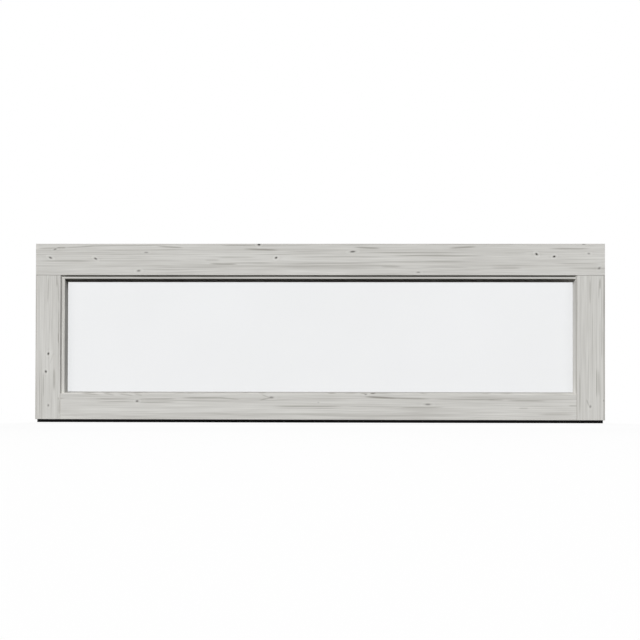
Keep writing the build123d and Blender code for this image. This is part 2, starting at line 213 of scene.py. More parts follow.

# Dark streaks and marks of the boards and of the frame's head and sill: place along and across,
# half length, half width (mm), tilt (degrees, rising along the grain) and darkness. On the sill,
# whose slope lies almost flat, the place across and the half width are measured in depth. Some of
# them are painted shade, each noted where it stands
STREAKS = {
    "head_board": (
        (-757, 487.4, 36, 3.0, 1.0, 0.70),
        (-724, 488.6, 15, 3.2, 0.0, 0.80),
        (-678, 490.6, 52, 2.4, 4.0, 0.60),
        (-555, 494.8, 130, 2.6, 0.5, 0.60),
        (-418, 490.8, 42, 3.2, -4.0, 0.75),
        (-711, 451.2, 84, 3.4, 0.0, 0.60),
        (-505, 452.4, 150, 2.6, 0.4, 0.32),
        (-518, 470.6, 100, 2.2, 0.0, 0.30),
        (-470, 482.0, 150, 2.2, 0.3, 0.28),
        (-360, 433.6, 110, 2.4, 0.0, 0.40),
        (-420, 428.0, 150, 2.4, 0.0, 0.32),
        (-330, 420.5, 130, 2.2, 0.0, 0.28),
        (-268, 443.4, 44, 3.6, -1.5, 0.85),
        (-300, 454.0, 24, 5.0, 0.0, 0.30),
        (-225, 495.2, 55, 2.4, 0.0, 0.50),
        (-100, 494.6, 90, 2.4, 0.0, 0.34),
        (-164, 484.0, 54, 3.2, -2.0, 0.75),
        (-15, 479.0, 90, 2.4, 0.8, 0.34),
        (-66, 471.4, 135, 2.4, 1.2, 0.42),
        (272, 475.2, 175, 2.4, 0.0, 0.42),
        (-230, 461.6, 60, 2.6, 0.0, 0.45),
        (54, 463.2, 160, 2.4, 0.4, 0.66),
        (330, 466.4, 150, 2.6, 0.1, 0.90),
        (-197, 445.6, 80, 2.4, 0.0, 0.44),
        (30, 445.4, 180, 4.2, 0.6, 0.42),
        (300, 449.2, 150, 3.6, 0.0, 0.52),
        (90, 434.5, 220, 9.0, 0.0, 0.26),
        (200, 436.0, 32, 4.0, 0.0, 0.36),
        (134, 488.6, 40, 3.6, -2.0, 0.75),
        (400, 489.6, 42, 4.0, 4.0, 0.66),
        (350, 434.6, 80, 3.4, 0.0, 0.42),
        (380, 426.0, 90, 2.4, 0.0, 0.28),
        (520, 432.4, 48, 5.0, 0.0, 0.38),
        (545, 474.0, 38, 3.6, 0.0, 0.26),
        (697, 486.0, 64, 3.6, 0.0, 0.62),
        (700, 457.0, 90, 2.4, 0.0, 0.32),
        (718, 444.4, 70, 2.2, 0.0, 0.44),
        (745, 432.0, 60, 3.0, 0.0, 0.28),
        (460, 497.0, 220, 2.4, 0.0, 0.26),
        (0, 498.6, 1000, 2.6, 0.0, 0.20),
    ),
    "left_side_board": (
        (398, -736.0, 22, 3.6, 0.0, 0.60),
        (366, -732.6, 34, 2.4, -2.0, 0.40),
        (372, -760.4, 46, 2.4, 1.5, 0.60),
        (262, -731.0, 66, 2.2, 0.0, 0.42),
        (236, -731.4, 16, 2.2, 0.0, 0.40),
        (120, -742.0, 36, 4.6, 0.0, 0.56),
        (290, -755.0, 50, 3.0, 0.0, 0.22),
        (105, -772.6, 40, 3.0, 0.0, 0.42),
        (76, -782.4, 70, 2.6, 0.0, 0.40),
        (44, -727.4, 26, 2.2, 0.0, 0.60),
        (66, -729.6, 6, 3.4, 0.0, 0.50),
        (178, -749.0, 20, 2.4, 18.0, 0.26),
        (240, -794.0, 300, 2.4, 0.0, 0.30),
    ),
    "right_side_board": (
        # Painted shade: a dark line along the inner edge, where the board meets the frame
        (210, 717.0, 900, 1.8, 0.0, 0.50),
        (388, 781.0, 18, 3.6, 0.0, 0.55),
        (372, 778.0, 30, 2.6, 3.0, 0.34),
        (366, 753.4, 40, 2.4, 0.0, 0.66),
        (250, 760.6, 70, 2.2, 0.0, 0.36),
        (220, 786.0, 50, 2.2, 1.0, 0.40),
        (112, 777.4, 42, 3.4, 0.0, 0.46),
        (112, 771.6, 46, 3.6, 0.0, 0.56),
        (140, 742.0, 70, 2.4, 0.0, 0.28),
        (120, 748.0, 80, 2.4, 0.0, 0.24),
        (82, 724.6, 70, 3.4, 0.0, 0.38),
        (57, 747.0, 12, 2.8, -20.0, 0.50),
        # Painted shade: the outer edge, which faces away from the key lamp
        (240, 792.2, 400, 2.5, 0.0, 0.85),
    ),
    "bottom_board": (
        (-733, 65.6, 24, 2.4, 0.0, 0.50),
        (-574, 66.0, 58, 2.4, 0.8, 0.46),
        (-452, 65.4, 58, 2.6, 0.0, 0.74),
        (-574, 57.2, 58, 2.4, 1.6, 0.46),
        (-452, 56.4, 58, 2.4, 0.0, 0.52),
        (-323, 68.6, 70, 3.6, 0.3, 0.70),
        (-250, 66.4, 34, 2.6, -4.0, 0.46),
        (-300, 59.2, 70, 2.0, 0.0, 0.34),
        (-150, 66.2, 18, 2.4, 14.0, 0.60),
        (-150, 74.2, 14, 2.0, -20.0, 0.50),
        (-34, 45.6, 108, 2.4, 0.0, 0.80),
        (150, 44.6, 80, 2.4, -0.4, 0.44),
        (285, 43.2, 70, 2.4, 0.0, 0.56),
        (-40, 40.0, 110, 2.2, 0.0, 0.50),
        (30, 22.0, 420, 8.0, 0.0, 0.34),
        (-330, 24.0, 130, 4.0, 0.0, 0.24),
        (172, 70.0, 50, 4.0, -3.0, 0.90),
        (255, 67.8, 64, 2.8, -0.9, 0.76),
        (400, 66.0, 110, 2.6, -0.7, 0.74),
        (492, 64.8, 26, 2.6, 0.0, 0.50),
        (578, 62.4, 62, 2.2, 0.0, 0.66),
        (706, 48.0, 14, 2.2, 0.0, 0.66),
        (640, 79.4, 64, 3.0, 0.0, 0.46),
        (660, 23.4, 60, 4.6, 0.0, 0.40),
        (569, 41.0, 16, 3.6, 0.0, 0.36),
        (-505, 77.0, 12, 2.4, -8.0, 0.44),
        (-640, 78.6, 30, 2.4, -4.0, 0.50),
        (-588, 78.2, 18, 2.4, -8.0, 0.50),
        (-541, 77.2, 24, 2.4, -7.0, 0.54),
    ),
    "frame_head": (
        # Painted shade: the groove under the head board, dark enough to turn towards the knots'
        # colour
        (0, 410.7, 4000, 2.1, 0.0, 1.4),
        # Painted shade: the head's soffit and its drip groove
        (0, 400.6, 4000, 3.0, 0.0, 0.85),
    ),
    "frame_sill": (
        # Painted shade: a faint darkening over the whole upward slope of the sill
        (0, -16.0, 4000, 30, 0.0, 0.08),
        (-652, -23.0, 36, 20, 0.0, 0.66),
        (-596, -23.0, 24, 18, 0.0, 0.50),
        (-549, -22.0, 24, 18, 0.0, 0.36),
        (-516, -24.0, 26, 20, 0.0, 0.58),
        (-489, -22.0, 20, 18, 0.0, 0.36),
        (-389, -22.0, 22, 18, 0.0, 0.28),
        (-363, -23.0, 16, 18, 0.0, 0.32),
        (-283, -22.0, 26, 18, 0.0, 0.34),
        (-208, -23.0, 16, 18, 0.0, 0.38),
        (-161, -25.0, 18, 18, 0.0, 0.70),
        (36, -25.0, 18, 18, 12.0, 0.70),
        (90, -23.0, 24, 20, 0.0, 0.56),
        (125, -25.0, 18, 18, 0.0, 0.60),
        (150, -26.0, 12, 16, 0.0, 1.16),
        (165, -23.0, 26, 18, 0.0, 0.54),
        (190, -25.0, 26, 18, 0.0, 0.76),
        (293, -23.0, 18, 18, 0.0, 0.42),
        (468, -23.0, 18, 18, 0.0, 0.38),
        (525, -22.0, 28, 18, 0.0, 0.40),
        (655, -23.0, 54, 18, 0.0, 0.38),
    ),
}


def linear(red, green, blue):
    """Scene-linear colour of a colour given as 8-bit screen values."""
    shares = [value / 255 for value in (red, green, blue)]
    return tuple(s / 12.92 if s <= 0.04045 else ((s + 0.055) / 1.055) ** 2.4 for s in shares)


def opaque(colour, share=1.0):
    """The colour, darker or lighter by a share, with the alpha of 1 that a node's socket takes."""
    return (*[part * share for part in colour[:3]], 1.0)


class TimberFinish(bpy.types.PropertyGroup):
    """Colours and wear of the grey stained softwood."""

    light: bpy.props.FloatVectorProperty(
        name="Earlywood",
        description="Colour of the pale wood between the ring lines",
        subtype="COLOR",
        min=0.0,
        max=1.0,
        default=linear(217, 216, 212),
    )
    dark: bpy.props.FloatVectorProperty(
        name="Latewood",
        description="Colour of the dark ring lines and streaks",
        subtype="COLOR",
        min=0.0,
        max=1.0,
        default=linear(143, 140, 133),
    )
    knot: bpy.props.FloatVectorProperty(
        name="Knot",
        description="Colour of a knot's core",
        subtype="COLOR",
        min=0.0,
        max=1.0,
        default=linear(66, 64, 61),
    )
    roughness: bpy.props.FloatProperty(
        name="Roughness",
        description="Roughness of the matt stain",
        min=0.0,
        max=1.0,
        default=0.68,
    )
    relief: bpy.props.FloatProperty(
        name="Relief",
        description="Height of the grain's relief",
        subtype="DISTANCE",
        unit="LENGTH",
        min=0.0,
        max=0.002,
        default=0.0004,
        precision=5,
    )


class GlassFinish(bpy.types.PropertyGroup):
    """Tint of the panes."""

    tint: bpy.props.FloatVectorProperty(
        name="Tint",
        description="Share of light that one pane lets through",
        subtype="COLOR",
        min=0.0,
        max=1.0,
        default=(0.925, 0.929, 0.933),
    )
    ior: bpy.props.FloatProperty(
        name="Index",
        description="Index of refraction of float glass",
        min=1.0,
        max=2.0,
        default=1.27,
    )


class TrimFinish(bpy.types.PropertyGroup):
    """Colours of the rubber, metal and plastic pieces."""

    strip: bpy.props.FloatVectorProperty(
        name="Seal strip",
        description="Colour of the seal strip under the frame",
        subtype="COLOR",
        min=0.0,
        max=1.0,
        default=(0.004, 0.004, 0.004),
    )
    rubber: bpy.props.FloatVectorProperty(
        name="Glazing rubber",
        description="Colour of the glazing tapes and gaskets",
        subtype="COLOR",
        min=0.0,
        max=1.0,
        default=(0.014, 0.014, 0.015),
    )
    sealant: bpy.props.FloatVectorProperty(
        name="Sealant",
        description="Colour of the glass unit's edge sealant",
        subtype="COLOR",
        min=0.0,
        max=1.0,
        default=(0.018, 0.018, 0.018),
    )
    plastic: bpy.props.FloatVectorProperty(
        name="Block plastic",
        description="Colour of the setting blocks",
        subtype="COLOR",
        min=0.0,
        max=1.0,
        default=(0.045, 0.045, 0.048),
    )
    aluminium: bpy.props.FloatVectorProperty(
        name="Aluminium",
        description="Colour of the spacer bars",
        subtype="COLOR",
        min=0.0,
        max=1.0,
        default=(0.76, 0.77, 0.78),
    )
    steel: bpy.props.FloatVectorProperty(
        name="Steel",
        description="Colour of the pins and screws",
        subtype="COLOR",
        min=0.0,
        max=1.0,
        default=(0.58, 0.57, 0.55),
    )


class FixingSizes(bpy.types.PropertyGroup):
    """Sizes and spacing of the bead pins and frame screws."""

    pin_radius: bpy.props.FloatProperty(
        name="Pin head radius",
        description="Radius of a bead pin's head",
        subtype="DISTANCE",
        unit="LENGTH",
        min=0.0005,
        max=0.004,
        default=0.0013,
        precision=5,
    )
    pin_rise: bpy.props.FloatProperty(
        name="Pin rise",
        description="How far a pin's head stands out of the bead",
        subtype="DISTANCE",
        unit="LENGTH",
        min=0.0,
        max=0.001,
        default=0.00025,
        precision=5,
    )
    pin_spacing: bpy.props.FloatProperty(
        name="Pin spacing",
        description="Largest distance between two bead pins",
        subtype="DISTANCE",
        unit="LENGTH",
        min=0.05,
        max=0.5,
        default=0.17,
    )
    pin_end: bpy.props.FloatProperty(
        name="Pin end distance",
        description="Distance from a mitre to the first pin",
        subtype="DISTANCE",
        unit="LENGTH",
        min=0.02,
        max=0.2,
        default=0.05,
    )
    bead_slope: bpy.props.FloatProperty(
        name="Bead slope",
        description="Slope of the beads' faces towards the room",
        subtype="ANGLE",
        unit="ROTATION",
        min=0.0,
        max=math.radians(45),
        default=math.radians(15),
    )
    screw_radius: bpy.props.FloatProperty(
        name="Screw head radius",
        description="Radius of a frame screw's head",
        subtype="DISTANCE",
        unit="LENGTH",
        min=0.002,
        max=0.008,
        default=0.0048,
        precision=5,
    )
    screw_rise: bpy.props.FloatProperty(
        name="Screw rise",
        description="How far a screw's head stands off the timber",
        subtype="DISTANCE",
        unit="LENGTH",
        min=0.0005,
        max=0.004,
        default=0.0016,
        precision=5,
    )


class StudioSetup(bpy.types.PropertyGroup):
    """Camera, lamps, sky and floor."""

    camera_place: bpy.props.FloatVectorProperty(
        name="Camera place",
        description="Where the camera stands",
        subtype="TRANSLATION",
        unit="LENGTH",
        default=(0.04261, -2.97749, 0.030),
        precision=5,
    )
    camera_turn: bpy.props.FloatVectorProperty(
        name="Camera turn",
        description="Camera's turn to the left, tilt up and roll",
        size=3,
        unit="ROTATION",
        default=(0.01367, 0.00994, 0.00219),
        precision=5,
    )
    lens: bpy.props.FloatProperty(
        name="Lens",
        description="Focal length on a 36 mm sensor",
        unit="CAMERA",
        min=10.0,
        max=300.0,
        default=59.078,
    )
    lens_shift: bpy.props.FloatProperty(
        name="Lens shift",
        description="Upward shift of the lens, as a share of the picture",
        min=-1.0,
        max=1.0,
        default=0.12734,
        precision=5,
    )
    key_strength: bpy.props.FloatProperty(
        name="Key strength",
        description="Strength of the lamp in front, on the left; the face boards don't block it",
        min=0.0,
        default=2.87,
    )
    key_direction: bpy.props.FloatVectorProperty(
        name="Key direction",
        description="Direction from the window to the left front lamp",
        subtype="DIRECTION",
        default=(-0.691, -0.690, 0.215),
    )
    side_strength: bpy.props.FloatProperty(
        name="Side strength",
        description="Strength of the weaker lamp on the right; the face boards don't block it",
        min=0.0,
        default=0.76,
    )
    side_direction: bpy.props.FloatVectorProperty(
        name="Side direction",
        description="Direction from the window to the right front lamp",
        subtype="DIRECTION",
        default=(0.814, -0.470, 0.342),
    )
    top_strength: bpy.props.FloatProperty(
        name="Top strength",
        description="Strength of the soft lamp above, which throws the window's shadow",
        min=0.0,
        default=0.76,
    )
    top_direction: bpy.props.FloatVectorProperty(
        name="Top direction",
        description="Direction from the window to the lamp above",
        subtype="DIRECTION",
        default=(-0.060, -0.200, 0.978),
    )
    fill_strength: bpy.props.FloatProperty(
        name="Fill strength",
        description="Strength of the low soft lamp behind",
        min=0.0,
        default=2.4,
    )
    fill_direction: bpy.props.FloatVectorProperty(
        name="Fill direction",
        description="Direction from the window to the lamp behind",
        subtype="DIRECTION",
        default=(-0.10, 0.96, 0.26),
    )
    end_strength: bpy.props.FloatProperty(
        name="End strength",
        description="Strength of the lamp at the right; it doesn't light the left end's pieces",
        min=0.0,
        default=1.0,
    )
    end_direction: bpy.props.FloatVectorProperty(
        name="End direction",
        description="Direction from the window to the lamp beside its right end",
        subtype="DIRECTION",
        default=(0.975, 0.19, 0.12),
    )
    softness: bpy.props.FloatProperty(
        name="Softness",
        description="Angle that each lamp covers, seen from the window",
        subtype="ANGLE",
        unit="ROTATION",
        min=0.0,
        max=math.radians(90),
        default=math.radians(24),
    )
    sky_level: bpy.props.FloatProperty(
        name="Sky at eye level",
        description="Brightness of the surroundings as a light, level with the window",
        min=0.0,
        max=2.0,
        default=0.48,
    )
    sky_above: bpy.props.FloatProperty(
        name="Sky above",
        description="Brightness of the surroundings as a light, straight above",
        min=0.0,
        max=2.0,
        default=0.1,
    )
    floor_glow: bpy.props.FloatProperty(
        name="Floor glow",
        description="Share of the floor's white that the window's shadow leaves",
        min=0.0,
        max=1.0,
        default=0.836,
    )
    floor_pale: bpy.props.FloatProperty(
        name="Floor paleness",
        description="Albedo of the floor where it is seen",
        min=0.0,
        max=1.0,
        default=0.245,
    )
    floor_bounce: bpy.props.FloatProperty(
        name="Floor bounce",
        description="Albedo of the floor where it throws light on the window",
        min=0.0,
        max=1.0,
        default=0.01,
    )
    floor_radius: bpy.props.FloatProperty(
        name="Floor radius",
        description="Radius of the round floor",
        subtype="DISTANCE",
        unit="LENGTH",
        min=2.0,
        max=200.0,
        default=60.0,
    )


class Wire:
    """A value in a material. Arithmetic on it adds Math nodes to that material."""

    def __init__(self, finish, socket):
        self.finish = finish
        self.socket = socket

    def worked(self, operation, *values):
        """The result of a Math node on these values."""
        return self.finish.node("ShaderNodeMath", {"operation": operation}, dict(enumerate(values)))

    def __add__(self, other):
        return self.worked("ADD", self, other)

    def __radd__(self, other):
        return self.worked("ADD", other, self)

    def __sub__(self, other):
        return self.worked("SUBTRACT", self, other)

    def __rsub__(self, other):
        return self.worked("SUBTRACT", other, self)

    def __mul__(self, other):
        return self.worked("MULTIPLY", self, other)

    def __rmul__(self, other):
        return self.worked("MULTIPLY", other, self)

    def __truediv__(self, other):
        return self.worked("DIVIDE", self, other)

    def __rtruediv__(self, other):
        return self.worked("DIVIDE", other, self)

    def __pow__(self, other):
        return self.worked("POWER", self, other)

    def __rpow__(self, other):
        return self.worked("POWER", other, self)

    def __lt__(self, other):
        return self.worked("LESS_THAN", self, other)

    def __gt__(self, other):
        return self.worked("GREATER_THAN", self, other)

    def __abs__(self):
        return self.worked("ABSOLUTE", self)

    def __floor__(self):
        return self.worked("FLOOR", self)


class Finish:
    """The node tree of one material or of the world, and the one way its nodes are added."""

    def __init__(self, tree):
        self.tree = tree
        tree.nodes.clear()

    def node(self, kind, settings=None, sockets=None, output=0):
        """Add a node: its settings first, then the values or links of its sockets."""
        added = self.tree.nodes.new(kind)
        for name, value in (settings or {}).items():
            setattr(added, name, value)
        for key, value in (sockets or {}).items():
            if isinstance(value, Wire):
                self.tree.links.new(value.socket, added.inputs[key])
            else:
                added.inputs[key].default_value = value
        return Wire(self, added.outputs[output]) if len(added.outputs) else None

    def vector(self, operation, sockets, output=0):
        """The result of a Vector Math node."""
        return self.node("ShaderNodeVectorMath", {"operation": operation}, sockets, output)

    def millimetres(self):
        """Place on the window in millimetres."""
        place = self.node("ShaderNodeTexCoord", output="Object")
        return self.vector("SCALE", {0: place, "Scale": MILLIMETRES_IN_METRE})

    def parts(self, vector):
        """The three parts of a vector."""
        split = self.node("ShaderNodeSeparateXYZ", {}, {0: vector})
        return [Wire(self, socket) for socket in split.socket.node.outputs]

    def joined(self, x, y, z):
        """A vector from three values."""
        return self.node("ShaderNodeCombineXYZ", {}, {0: x, 1: y, 2: z})

    def noise(self, place, lengths, seed=0.0, detail=1.0):
        """Soft noise around 0 whose patches have these lengths along the three axes."""
        shares = [1 / length for length in lengths]
        offset = (seed, seed * 0.7, seed * 1.3)
        scaled = self.vector("MULTIPLY_ADD", {0: place, 1: shares, 2: offset})
        sockets = {"Vector": scaled, "Scale": 1.0, "Detail": detail}
        return self.node("ShaderNodeTexNoise", {}, sockets) - 0.5

    def even_noise(self, place, length, seed, detail=1.0):
        """Soft noise around 0 whose patches have the same length all ways."""
        return self.noise(place, (length, length, length), seed, detail)

    def smooth(self, value, low, high, at_low=0.0, at_high=1.0):
        """Smooth step from one value at low to another at high."""
        return self.node(
            "ShaderNodeMapRange",
            {"interpolation_type": "SMOOTHSTEP"},
            {"Value": value, 1: low, 2: high, 3: at_low, 4: at_high},
        )

    def faded(self, distance, ends, amount=1.0):
        """An amount that falls smoothly to 0 between two distances."""
        return self.smooth(distance, *ends, at_low=amount, at_high=0.0)

    def reach(self, place, centre, size, tilt=0.0, blunt=False):
        """Distance from a centre in radii of a turned ellipse; blunt gives it square ends."""
        local = self.node(
            "ShaderNodeMapping",
            {"vector_type": "TEXTURE"},
            {
                "Vector": place,
                "Location": (*centre, 0.0),
                "Rotation": (0.0, 0.0, math.radians(tilt)),
                "Scale": (*size, 1.0),
            },
        )
        if blunt:
            local = self.vector("MULTIPLY", {0: local, 1: local})
        return self.vector("LENGTH", {0: local}, output=1)

    def blend(self, share, first, second):
        """Colour between two colours."""
        sockets = {0: share, 6: first, 7: second}
        return self.node("ShaderNodeMix", {"data_type": "RGBA"}, sockets, output=2)

    def relief(self, height, distance, strength=1.0):
        """Normal for a small relief of the surface."""
        sockets = {"Strength": strength, "Distance": distance, "Height": height}
        return self.node("ShaderNodeBump", {}, sockets)

    def surface(self, sockets):
        """Main shader with these sockets."""
        return self.node("ShaderNodeBsdfPrincipled", {}, sockets)

    def shown(self, shader, kind="ShaderNodeOutputMaterial"):
        """Put the shader on the surface."""
        self.node(kind, {}, {"Surface": shader})


def new_finish(name):
    """A new material and its finish."""
    material = bpy.data.materials.new(name)
    material.use_nodes = True
    return material, Finish(material.node_tree)


def dress(names, material):
    """Give CAD nodes a better material in their own slots."""
    for name in names:
        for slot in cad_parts[name].material_slots:
            slot.material = material


def timber_noise(finish, kind, place, seed):
    """One kind of the timber's noise, around 0."""
    lengths, added_seed, detail = TIMBER_NOISE[kind]
    return finish.noise(place, lengths, seed + added_seed, detail)


def knot_layers(finish, name, flat, across):
    """How far the grain bends round a piece's knots, the knots' cores and the shades round them."""
    bend = 0.0
    cores = 0.0
    shades = 0.0
    for knot_run, knot_across, half_length, half_width, tilt, darkness in KNOTS.get(name, ()):
        centre = (knot_run, knot_across)
        near = finish.reach(flat, centre, (half_length, half_width), tilt)
        wide = finish.reach(flat, centre, (half_length * ROUND_LENGTH, half_width * ROUND_WIDTH))
        push = finish.faded(wide, BEND_ENDS, KNOT_BEND)
        bend = bend + (across - knot_across) * push
        cores = cores + finish.faded(near, CORE_ENDS, KNOT_CORE * darkness)
        shades = shades + finish.faded(wide, SHADE_ENDS, KNOT_SHADE * darkness)
        from_collar = abs(near - COLLAR_RADIUS)
        shades = shades - finish.faded(from_collar, COLLAR_ENDS, KNOT_COLLAR * darkness)
    return bend, cores, shades


def streak_layer(finish, name, marked):
    """Darkness of a piece's streaks and marks, painted shade among them. The long ones have square
    ends.
    """
    marks_and_shade = 0.0
    for mark_run, mark_across, half_length, half_width, tilt, darkness in STREAKS.get(name, ()):
        centre = (mark_run, mark_across)
        size = (half_length, half_width * STREAK_WIDTH)
        blunt = half_length > LONG_STREAK * half_width
        far = finish.reach(marked, centre, size, tilt, blunt)
        marks_and_shade = marks_and_shade + finish.faded(far, STREAK_ENDS, darkness)
    return marks_and_shade


def ring_lines(finish, run, radius, spacing, seed):
    """Dark line at the end of each year's ring, of uneven strength and fading along the piece."""
    moved = timber_noise(finish, "years", finish.joined(radius, 0.0, 0.0), seed)
    age = radius / spacing + moved * YEARS_MOVED
    ring = math.floor(age)
    part = age - ring
    late = part**LINE_RISE * finish.faded(part, LINE_ENDS)
    year = {"W": ring + seed}
    strength = finish.node("ShaderNodeTexWhiteNoise", {"noise_dimensions": "1D"}, year)
    length_wise = timber_noise(finish, "fading", finish.joined(run, ring, 0.0), seed)
    fade = finish.smooth(length_wise, *FADE_ALONG, at_low=FADED_LINE)
    return late * (WEAK_YEAR + strength * strength * STRONG_YEAR) * fade


def stained_timber(name, wood):
    """Grey stained softwood cut from a round log, with the knots, streaks and painted shade of this
    piece.
    """
    along, pith_across, pith_depth, spacing, seed = GRAIN[name]
    material, finish = new_finish(f"stained_{name}")
    x, depth, z = finish.parts(finish.millimetres())
    run, across = (x, z) if along == "X" else (z, x)
    place = finish.joined(run, across, depth)
    drift = timber_noise(finish, "drift", place, seed)
    wander = timber_noise(finish, "wander", place, seed)
    flat = finish.joined(run, across + wander * STREAK_WANDER, 0.0)
    marked = flat
    if name == "frame_sill":  # its slope shows, so its marks are placed by depth
        ragged = timber_noise(finish, "ragged", place, seed) * SILL_RAGGED
        marked = finish.joined(run + ragged, depth + wander * SILL_WANDER + ragged, 0.0)

    bend, cores, shades = knot_layers(finish, name, flat, across)
    # Streaks and marks, painted shade among them (head grooves, sill slope, right board's edges)
    marks_and_shade = streak_layer(finish, name, marked)
    if name.startswith("frame"):
        marks_and_shade = marks_and_shade * (abs(run) < JAMB_FACE)

    from_pith = across + drift * PITH_DRIFT + wander * RING_WANDER - pith_across - bend
    behind = depth - pith_depth + drift * PITH_DEPTH_DRIFT
    radius = (from_pith * from_pith + behind * behind) ** 0.5
    lines = ring_lines(finish, run, radius, spacing, seed)
    fibre = timber_noise(finish, "fibre", place, seed)
    bands = timber_noise(finish, "bands", place, seed)
    patches = timber_noise(finish, "patches", place, seed)
    tone = BASE_TONE + lines * LINE_TONE + fibre * FIBRE_TONE + bands * BAND_TONE
    tone = tone + patches * PATCH_TONE + shades + marks_and_shade * MARK_TONE
    wood_colour = finish.blend(tone, opaque(wood.light), opaque(wood.dark))
    darkest = cores + finish.smooth(marks_and_shade, *BLACKENED, at_high=BLACK_SHARE)
    height = 1.0 - lines * LINE_HOLLOW - fibre * FIBRE_HOLLOW
    sockets = {
        "Base Color": finish.blend(darkest, wood_colour, opaque(wood.knot)),
        "Roughness": wood.roughness + fibre * FIBRE_ROUGHNESS,
        "Specular IOR Level": 0.0,
        "Normal": finish.relief(height, wood.relief, strength=0.6),
    }
    finish.shown(finish.surface(sockets))
    return material


def stain(names, wood):
    """Stain timber pieces, each with its own grain."""
    for name in names:
        dress([name], stained_timber(name, wood))


def clear_glass(glass):
    """Float glass with a very slight, slowly changing tint, clear to a lamp's shadow rays."""
    material, finish = new_finish("clear_float_glass")
    waves = finish.even_noise(finish.millimetres(), length=260, seed=2.0, detail=2.0)
    sockets = {
        "Base Color": finish.blend(waves + 0.5, opaque(glass.tint, 0.99), opaque(glass.tint, 1.01)),
        "Roughness": 0.0,
        "IOR": glass.ior,
        "Transmission Weight": 1.0,
    }
    pane = finish.surface(sockets)
    open_pane = finish.node("ShaderNodeBsdfTransparent", {}, {"Color": opaque(glass.tint)})
    shadow_ray = finish.node("ShaderNodeLightPath", output="Is Shadow Ray")
    finish.shown(finish.node("ShaderNodeMixShader", {}, {0: shadow_ray, 1: pane, 2: open_pane}))
    return material


def soft_rubber(name, colour, grain, dust):
    """Matt black rubber with a fine grain and a little pale dust."""
    material, finish = new_finish(name)
    place = finish.millimetres()
    fine = finish.even_noise(place, grain, seed=1.0, detail=3.0)
    cloud = finish.noise(place, (60, 14, 14), seed=4.0, detail=3.0)
    in_clouds = finish.smooth(cloud, low=0.0, high=0.3, at_high=dust)
    settled = in_clouds + finish.smooth(fine, low=0.1, high=0.35, at_high=dust)
    sockets = {
        "Base Color": finish.blend(settled, opaque(colour), DUST),
        "Roughness": 0.78 + fine * 0.2,
        "Specular IOR Level": 0.06,
        "Normal": finish.relief(fine, distance=0.0002, strength=0.5),
    }
    finish.shown(finish.surface(sockets))
    return material


def lumpy_sealant(colour):
    """Black sealant with the soft ripples of the nozzle."""
    material, finish = new_finish("edge_sealant")
    place = finish.millimetres()
    ripple = finish.even_noise(place, length=7, seed=3.0, detail=2.0)
    fine = finish.even_noise(place, length=1.2, seed=6.0)
    sockets = {
        "Base Color": finish.blend(ripple + 0.5, opaque(colour), opaque(colour, 1.8)),
        "Roughness": 0.42 + fine * 0.25,
        "Specular IOR Level": 0.3,
        "Normal": finish.relief(ripple, distance=0.0008, strength=0.7),
    }
    finish.shown(finish.surface(sockets))
    return material


def moulded_plastic(colour):
    """Dark grey moulded plastic with a fine orange-peel grain and scuffs."""
    material, finish = new_finish("moulded_plastic")
    place = finish.millimetres()
    peel = finish.even_noise(place, length=0.9, seed=5.0, detail=2.0)
    scuff = finish.noise(place, (14, 3, 5), seed=8.0, detail=4.0)
    worn = finish.smooth(scuff, low=0.08, high=0.3, at_high=0.5)
    sockets = {
        "Base Color": finish.blend(worn, opaque(colour), opaque(colour, 2.2)),
        "Roughness": 0.46 + peel * 0.2 + worn * 0.2,
        "Normal": finish.relief(peel, distance=0.0001, strength=0.5),
    }
    finish.shown(finish.surface(sockets))
    return material


def spacer_aluminium(name, colour, along):
    """Mill finish aluminium, brushed along the bar and pierced by a row of small slits."""
    slit_pitch, slit_share = 6.0, 0.4
    slit_depth, half_slit = 19.0, 0.45
    material, finish = new_finish(name)
    place = finish.millimetres()
    x, y, z = finish.parts(place)
    lengths = (90, 0.5, 0.5) if along == "X" else (0.5, 0.5, 90)
    brushed = finish.noise(place, lengths, seed=2.0, detail=3.0)
    run = (x if along == "X" else z) / slit_pitch
    in_slit = (run - math.floor(run) < slit_share) * (abs(y - slit_depth) < half_slit)
    worn = brushed + 0.5 + in_slit * 2.0
    sockets = {
        "Base Color": finish.blend(worn, opaque(colour), opaque(colour, 0.82)),
        "Metallic": 1.0 - in_slit,
        "Roughness": 0.34 + brushed * 0.3,
        "Normal": finish.relief(brushed - in_slit, distance=0.0001, strength=0.4),
    }
    finish.shown(finish.surface(sockets))
    return material


def zinc_steel(colour):
    """Zinc plated steel with a fine spangle."""
    material, finish = new_finish("zinc_plated_steel")
    spangle = finish.even_noise(finish.millimetres(), length=1.6, seed=7.0, detail=2.0)
    sockets = {
        "Base Color": finish.blend(spangle + 0.5, opaque(colour), opaque(colour, 0.75)),
        "Metallic": 1.0,
        "Roughness": 0.36 + spangle * 0.3,
        "Normal": finish.relief(spangle, distance=0.00005, strength=0.4),
    }
    finish.shown(finish.surface(sockets))
    return material


def shared(name, make, *values):
    """A material that more than one operator uses, made once."""
    found = bpy.data.materials.get(name)
    return found if found else make(*values)


def chosen_faces(piece, wanted):
    """In edit mode, select only the faces whose centre and normal pass the test."""
    bpy.ops.mesh.select_all(action="DESELECT")
    bpy.ops.object.mode_set(mode="OBJECT")
    for face in piece.data.polygons:
        face.select = wanted(face.center, face.normal)
    bpy.ops.object.mode_set(mode="EDIT")


